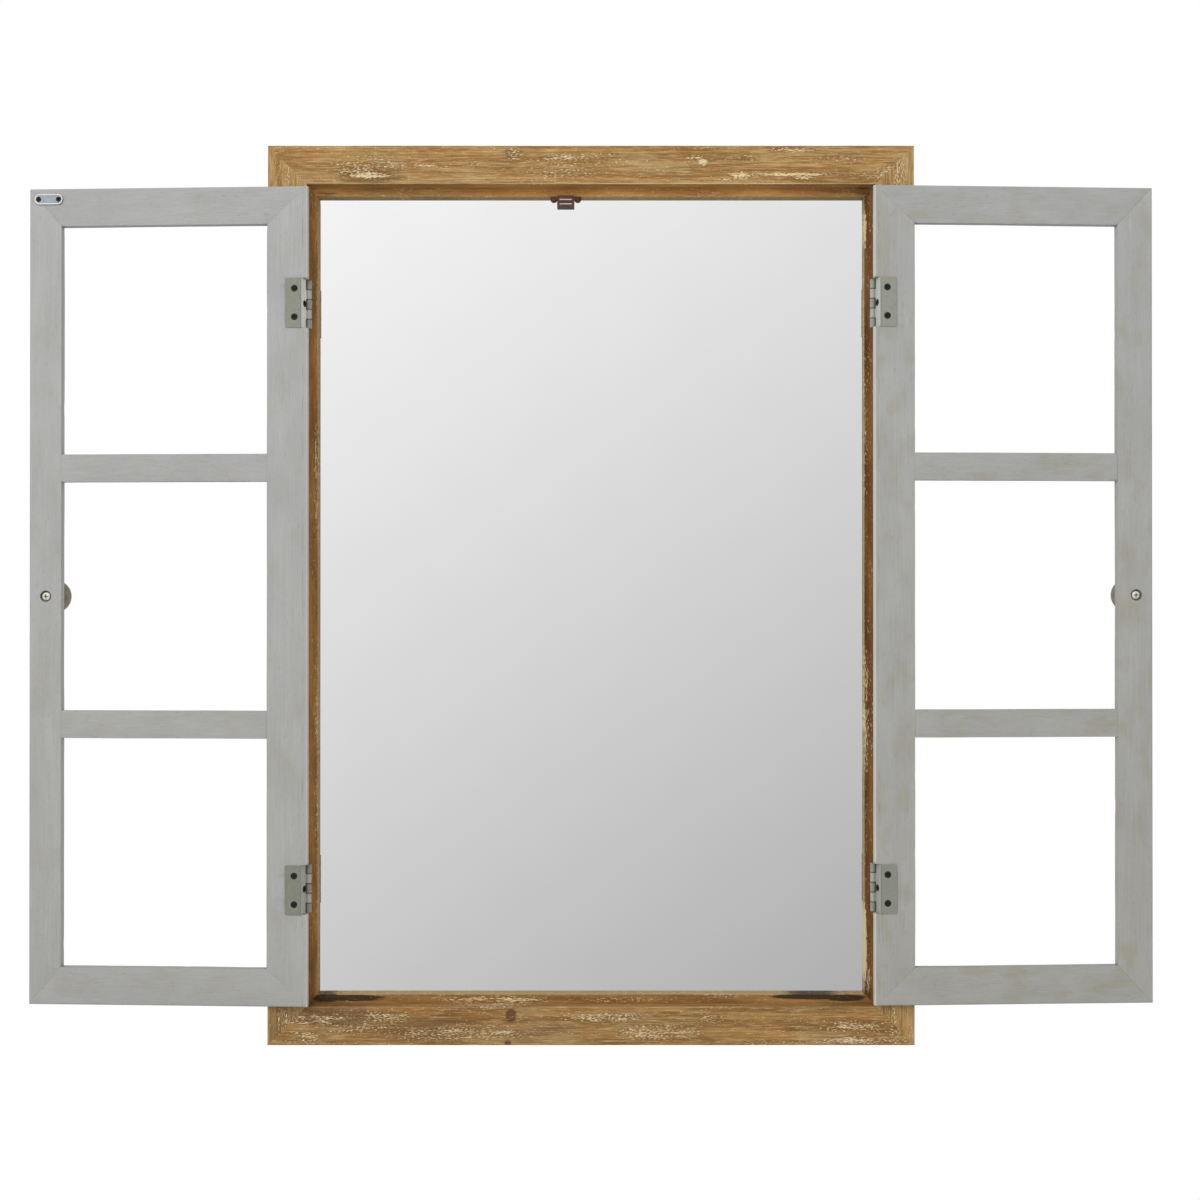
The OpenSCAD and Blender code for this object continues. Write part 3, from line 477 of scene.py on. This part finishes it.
def grey_finish(name, flat, seed, warmth, bore):
    """Brushed grey paint along a rail or crossbar (flat) or a stile. It is rubbed pale at the
    hinge edge, with painted light on that edge's side face, and has painted shade in the
    bore for the knob's screw."""
    material, tree = start_finish(name)
    x, y, z = place(tree)
    spot = (x, z, y) if flat else (z, x, y)
    brush = streaks(spot, (60, 0.9, 0.9), seed, 3.0)
    pore = streaks(spot, (5.5, 0.42, 0.42), seed + 4)
    cloud = streaks(spot, (70, 26, 26), seed + 7)
    tint = streaks(spot, (34, 20, 20), seed + 11)
    low_paint, high_paint = grey_rails if flat else grey_stiles
    colour = cloud.rise(0.35, 0.68).between(low_paint, high_paint)

    # The paint is yellower and darker in drifts and towards the foot, more on the right shutter
    yellow_darkening = tint.rise(0.46, 0.7) * warmth + (0.3 - z / 1500) * warmth
    colour = yellow_darkening.between(colour, rgb(160, 156, 136))
    colour = (brush.rise(0.5, 0.72) * 0.28).between(colour, rgb(150, 150, 146))
    colour = (brush.rise(0.48, 0.32) * 0.2).between(colour, rgb(188, 188, 186))
    colour = (pore.rise(0.62, 0.76) * 0.45).between(colour, rgb(130, 130, 124))

    # A pale hinge edge, part rubbed paint and part painted light on its dim side face, a
    # broken dark line beside it that is painted shade over a shallow groove, and painted
    # shade in the bore
    from_edge = (x.math("ABSOLUTE") - hinge_edge).math("ABSOLUTE")
    colour = (from_edge.rise(1.9, 0.9) * 0.75).between(colour, rgb(214, 213, 209))
    groove_and_shade = from_edge.peak(4.8, 0.7) * streaks(spot, (16, 4, 4), seed + 20).rise(0.42, 0.7)
    colour = (groove_and_shade * 0.5).between(colour, rgb(112, 112, 106))
    off_x, off_z = x - bore.x / MM, z - (bore.z - frame_middle) / MM
    bore_shade = (off_x * off_x + off_z * off_z).math("SQRT").rise(6.0, 5.4)
    colour = (bore_shade * 0.8).between(colour, rgb(96, 90, 80))
    height = brush * 0.6 - pore.rise(0.6, 0.78) * 0.7 - groove_and_shade * 0.6
    roughness = 0.5 + cloud * 0.12
    close_finish(tree, colour, roughness, height, 0.16 * MM, **{"Specular IOR Level": 0.3})
    return material


grey_stiles = (rgb(169, 169, 168), rgb(175, 175, 174))
grey_rails = (rgb(166, 166, 165), rgb(172, 172, 171))
shutter_boards = {"hinge_stile": False, "free_stile": False, "top_rail": True,
                  "bottom_rail": True, "upper_muntin": True, "lower_muntin": True}
hinge_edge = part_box("right_hinge_stile")[0].x / MM
for side, way, warmth, ease, first_seed in (("left", -1, 0.2, 0.12 * MM, 5.0),
                                            ("right", 1, 0.45, 0.3 * MM, 140.0)):
    # An open shutter leans back by this angle, with its free edge nearer the wall
    joint = next(j for j in frame["joints"] if j["child"] == side + "_shutter")
    lean = math.radians(joint["range_deg"][1] - 180)
    outwards = Vector((way * math.cos(lean), math.sin(lean), 0))
    low, high = [Vector(corner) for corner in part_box(side + "_knob_screw")]
    bore = (low + high) / 2
    for number, (board, flat) in enumerate(shutter_boards.items()):
        name = f"{side}_{board}"
        seed = 17.0 * number + first_seed
        along, across = (outwards, Z) if flat else (Z, outwards)
        piece = sanded(name, along, across, ease, wear_depth, 1.4 * MM, seed)
        dress(piece, grey_finish(name + "_paint", flat, seed, warmth, bore))
        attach(piece, side + "_shutter")

material, tree = start_finish("raw_beech")
x, y, z = place(tree)
fleck = streaks((x, z, y), (3, 0.6, 0.6), 2.0, 3.0)
beech = fleck.rise(0.3, 0.7).between(rgb(196, 162, 112), rgb(214, 184, 136))
close_finish(tree, beech, 0.6 + fleck * 0.1, fleck, 0.1 * MM)
for side in ("left", "right"):
    dress(nodes[side + "_dowels"], material)


# ---- Hinges ----
# Pressed steel butt hinges with a dull lacquer. One leaf is screwed to the side of the
# frame's step, and the other wraps the shutter's edge and is screwed to its inner face.

hinge_foot, hinge_head = [Vector(corner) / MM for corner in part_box("right_upper_frame_leaf")]
hinge_level = (hinge_foot.z + hinge_head.z) / 2 - frame_middle / MM
knuckle = (hinge_head.z - hinge_foot.z) / 5
left_drop = hinge_foot.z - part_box("left_upper_frame_leaf")[0].z / MM

# The barrel's outer edge and the leaf's bend, in millimetres from the frame's middle
barrel_edge = 283.5
bend_line = 287.0


def hinge_finish(name, turn_wear):
    """Dull lacquer, worn on the turns of the barrel and dark between them, with painted light
    and shade by side, height and facing.
    """
    material, tree = start_finish(name)
    x, y, z = place(tree)
    mottle = streaks((x, z, y), (3.2, 3.2, 3.2), 4.0, 4.0)
    scratch = streaks((x, z, y), (0.5, 7, 2), 9.0, 3.0)
    wear = streaks((x, z, y), (9, 9, 9), 12.0)
    on_left, on_right = x.rise(10.0, -10.0), x.rise(-10.0, 10.0)
    lower = z.rise(100.0, -100.0)
    lacquer = mottle.rise(0.34, 0.68).between(rgb(132, 134, 121), rgb(140, 142, 129))
    # Painted light and shade: lighter lacquer on the right hinges, darker on the lower ones
    lacquer = (on_right * 0.4).between(lacquer, rgb(162, 165, 152))
    lacquer = (lower * 0.14).between(lacquer, rgb(90, 92, 78))
    lacquer = (scratch.rise(0.6, 0.74) * 0.3).between(lacquer, rgb(178, 180, 172))
    lacquer = (wear.rise(0.55, 0.75) * 0.2).between(lacquer, rgb(120, 122, 110))

    # Painted light: the leaf's bend along the shutter's edge and its side faces are brighter
    # than its flat, most on the left and less low down, with a painted shade line along the bend
    facing = tree.add("TexCoord", {}, {}, "Normal")
    facing = tree.add("SeparateXYZ", {}, {"Vector": facing}, "Y").math("ABSOLUTE")
    from_middle = x.math("ABSOLUTE")
    lacquer = ((1 - facing.rise(0.55, 0.9)) * 0.35).between(lacquer, rgb(188, 189, 182))
    painted_strip_highlight = on_left.between(rgb(196, 200, 194), rgb(232, 235, 230))
    painted_strip_highlight = (lower * 0.7).between(painted_strip_highlight, rgb(150, 154, 142))
    bent = facing.rise(0.12, 0.17) * facing.rise(0.4, 0.34)
    bent = bent * from_middle.rise(barrel_edge - 0.4, barrel_edge + 0.1)
    lacquer = bent.between(lacquer, painted_strip_highlight)
    painted_crease_shade = from_middle.peak(bend_line, 1.1) * facing.rise(0.99, 0.997)
    lacquer = (painted_crease_shade * 0.5).between(lacquer, rgb(92, 95, 84))

    # Turns of the barrel, with a dark seam between each two
    barrel = from_middle.rise(barrel_edge + 0.4, barrel_edge)
    barrel = barrel * y.rise(hinge_foot.y + 4.1, hinge_foot.y + 3.7)
    lacquer = (barrel * turn_wear).between(lacquer, rgb(186, 181, 175))
    level = (z + on_left * left_drop).math("ABSOLUTE") - hinge_level
    seam = (level / knuckle + 0.5).math("PINGPONG", 0.5).rise(0.085, 0.035)
    lacquer = (seam * barrel * 0.75).between(lacquer, rgb(58, 58, 52))
    height = mottle + scratch.rise(0.6, 0.74)
    close_finish(tree, lacquer, 0.42 + mottle * 0.2, height, 0.04 * MM, Metallic=0.1)
    return material


for part, turn_wear in (("frame_leaf", 0.0), ("shutter_leaf", 0.6), ("hinge_pin", 0.0)):
    material = hinge_finish(part + "_lacquer", turn_wear)
    for side in ("left", "right"):
        for level in ("upper", "lower"):
            dress(nodes[f"{side}_{level}_{part}"], material)

material, tree = start_finish("black_oxide")
x, y, z = place(tree)
bloom = streaks((x, z, y), (1.4, 1.4, 1.4), 2.0, 3.0)
oxide = bloom.rise(0.35, 0.7).between(rgb(30, 29, 25), rgb(58, 55, 48))
close_finish(tree, oxide, 0.45 + bloom * 0.2, bloom, 0.04 * MM, Metallic=0.5)
for name in ("frame_leaf_screws", "left_leaf_screws", "right_leaf_screws", "strike_screws"):
    dress(nodes[name], material)


# ---- Strike plate ----
# A small pressed plate with round ends and a raised bright rim, screwed to the left
# shutter's free top corner, where the catch's poles pull on it.

material, tree = start_finish("strike_nickel")
x, y, z = place(tree)
rolled = streaks((x, z, y), (11, 0.3, 0.3), 6.0, 3.0)
cloud = streaks((x, z, y), (5, 4, 4), 9.0)
field = rolled.rise(0.32, 0.7).between(rgb(140, 148, 154), rgb(166, 174, 180))
field = (cloud.rise(0.45, 0.7) * 0.4).between(field, rgb(124, 132, 140))
glint = streaks((x, z, y), (0.9, 0.9, 0.9), 13.0)
field = (glint.rise(0.58, 0.7) * 0.6).between(field, rgb(196, 200, 204))

# The field inside the rim, then the rim and its darker outer edge
low, high = [Vector(corner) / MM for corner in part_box("strike_plate")]
half_long, half_high = (high.x - low.x) / 2, (high.z - low.z) / 2
off_x = (x - (low.x + high.x) / 2).math("ABSOLUTE") - (half_long - half_high)
off_x = off_x.math("MAXIMUM", 0.0)
off_z = z - ((low.z + high.z) / 2 - frame_middle / MM)
off_middle = (off_x * off_x + off_z * off_z).math("SQRT")
bright = off_middle.rise(half_high - 1.5, half_high - 1.1).between(field, rgb(238, 239, 240))
bright = off_middle.rise(half_high - 0.7, half_high - 0.3).between(bright, rgb(148, 149, 148))
close_finish(tree, bright, 0.34 + cloud * 0.12, rolled, 0.03 * MM, Metallic=0.3)
dress(nodes["strike_plate"], material)


# ---- Knobs ----
# Turned wooden knobs with a domed face and a rounded rim, painted brown grey. A machine
# screw from the shutter's inner face holds each one.

# Painted shade: the right knob is set darker than the left, where light from the left falls on
# its exposed side
knob_greys_with_shading = {"left": (rgb(138, 126, 110), rgb(158, 148, 132)),
              "right": (rgb(124, 118, 105), rgb(144, 138, 125))}
for side, (dull, pale) in knob_greys_with_shading.items():
    material, tree = start_finish(side + "_knob_paint")
    x, y, z = place(tree)
    turned = streaks((x, z, y), (16, 16, 0.7), 3.0, 3.0)
    blotch = streaks((x, z, y), (5, 5, 5), 7.0, 3.0)
    worn = blotch.rise(0.38, 0.68).between(dull, pale)
    worn = (turned.rise(0.55, 0.72) * 0.35).between(worn, rgb(120, 108, 92))
    close_finish(tree, worn, 0.5 + blotch * 0.2, turned + blotch, 0.12 * MM)
    dress(nodes[side + "_knob"], material)

    # The screw's bright head, with painted shade in its cross and dull round its rim
    material, tree = start_finish(side + "_knob_zinc")
    x, y, z = place(tree)
    low, high = [Vector(corner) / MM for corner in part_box(side + "_knob_screw")]
    off_x = (x - (low.x + high.x) / 2).math("ABSOLUTE")
    off_z = (z - (low.z + high.z) / 2 + frame_middle / MM).math("ABSOLUTE")
    near, far = off_x.math("MINIMUM", off_z), off_x.math("MAXIMUM", off_z)
    cross = near.rise(0.75, 0.45) * far.rise(2.3, 1.9)
    polish = streaks((x, z, y), (1.6, 1.6, 1.6), 4.0, 3.0)
    zinc = polish.rise(0.35, 0.68).between(rgb(230, 224, 206), rgb(250, 247, 236))
    zinc = (far.rise(3.1, 3.9) * 0.5).between(zinc, rgb(124, 120, 108))
    zinc = (cross * 0.85).between(zinc, rgb(52, 48, 42))
    close_finish(tree, zinc, 0.34 + polish * 0.16, polish, 0.03 * MM, Metallic=0.2)
    dress(nodes[side + "_knob_screw"], material)


# ---- Floor, light and camera ----
# A pale studio: a floor well below the mirror that fades into a white surround, two large
# soft lamps and the photograph's own camera, one and a half metres in front.

floor_drop = 0.62
floor_reach = 2.4
fade_start, fade_end = 0.25, 1.05

sheet = bpy.data.meshes.new("studio_floor")
corners = [(-floor_reach, -floor_reach), (floor_reach, -floor_reach),
           (floor_reach, floor_reach), (-floor_reach, floor_reach)]
sheet.from_pydata([(a, b, frame_foot - floor_drop) for a, b in corners], [], [(0, 1, 2, 3)])
floor = bpy.data.objects.new("studio_floor", sheet)
bpy.context.scene.collection.objects.link(floor)

material, tree = start_finish("floor_paint")
spot = tree.add("TexCoord", {}, {}, "Object")
level_spot = tree.add("VectorMath", {"operation": "MULTIPLY"}, {0: spot, 1: (1, 1, 0)})
far = tree.add("VectorMath", {"operation": "LENGTH"}, {0: level_spot}, "Value")
mottled = tree.add("TexNoise", {}, {"Vector": spot, "Scale": 3.0})
pale = mottled.between(rgb(238, 238, 237), rgb(244, 244, 243))
ground = tree.add("BsdfDiffuse", {}, {"Color": pale})
clear = tree.add("BsdfTransparent", {}, {})
faded = far.rise(fade_start, fade_end)
shown = tree.add("MixShader", {}, {0: faded, 1: ground, 2: clear})
tree.add("OutputMaterial", {}, {"Surface": shown})
dress(floor, material)

world = bpy.data.worlds.new("studio")
bpy.context.scene.world = world
world.use_nodes = True
world.node_tree.nodes.clear()
tree = Wire(world.node_tree)
direction = tree.add("TexCoord", {}, {}, "Generated")
across, depth, height = [
    tree.add("SeparateXYZ", {}, {"Vector": direction}, axis) for axis in "XYZ"]

# The room that the mirror faces is lit from its upper left, and the wall side is white
dimmest, brightest = 0.4, 1.15
room = 0.76 - across * 0.5 + height * 0.74
room = room.math("MAXIMUM", dimmest).math("MINIMUM", brightest)
room = depth.rise(-0.1, 0.4) * (1 - room) + room
seen = tree.add("LightPath", {}, {}, "Is Camera Ray")
through = tree.add("LightPath", {}, {}, "Is Transmission Ray")
glossy = tree.add("LightPath", {}, {}, "Is Glossy Ray")

# Pale side walls give the edges of the boards more light than their faces
ambient = 0.26 + across.math("ABSOLUTE") * 0.5
strength = seen.math("MAXIMUM", through)
strength = strength + (1 - strength) * (glossy * room + (1 - glossy) * ambient)
surround = tree.add("Background", {}, {"Color": (1, 1, 1, 1), "Strength": strength})
tree.add("OutputWorld", {}, {"Surface": surround})


def soft_lamp(name, spot, aim, size, power):
    """A square lamp that lights the object but isn't itself reflected."""
    light = bpy.data.lights.new(name, "AREA")
    light.size = size
    light.energy = power
    lamp = bpy.data.objects.new(name, light)
    lamp.location = spot
    lamp.rotation_euler = (Vector(aim) - Vector(spot)).to_track_quat("-Z", "Y").to_euler()
    lamp.visible_glossy = False
    bpy.context.scene.collection.objects.link(lamp)


middle = (0, 0, frame_middle)
soft_lamp("key_lamp", (-1.2, -2.5, 1.0), middle, size=2.0, power=52.0)
soft_lamp("fill_lamp", (1.9, -2.4, 0.1), middle, size=2.0, power=12.0)

# The camera stands a little right of the frame's middle and below it, tilted up a fifth
# of a degree
camera_right, camera_below, camera_reach = 9 * MM, 10.33 * MM, 1.5
frame_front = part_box("frame_top_rail")[0].y
lens = bpy.data.cameras.new("camera")
lens.sensor_width = 36.0
lens.lens = 45.01
camera = bpy.data.objects.new("camera", lens)
camera.location = (camera_right, frame_front - camera_reach, frame_middle - camera_below)
camera.rotation_euler = (math.radians(90.203), 0, 0)
bpy.context.scene.collection.objects.link(camera)
bpy.context.scene.camera = camera
bpy.context.scene.view_settings.view_transform = "Standard"
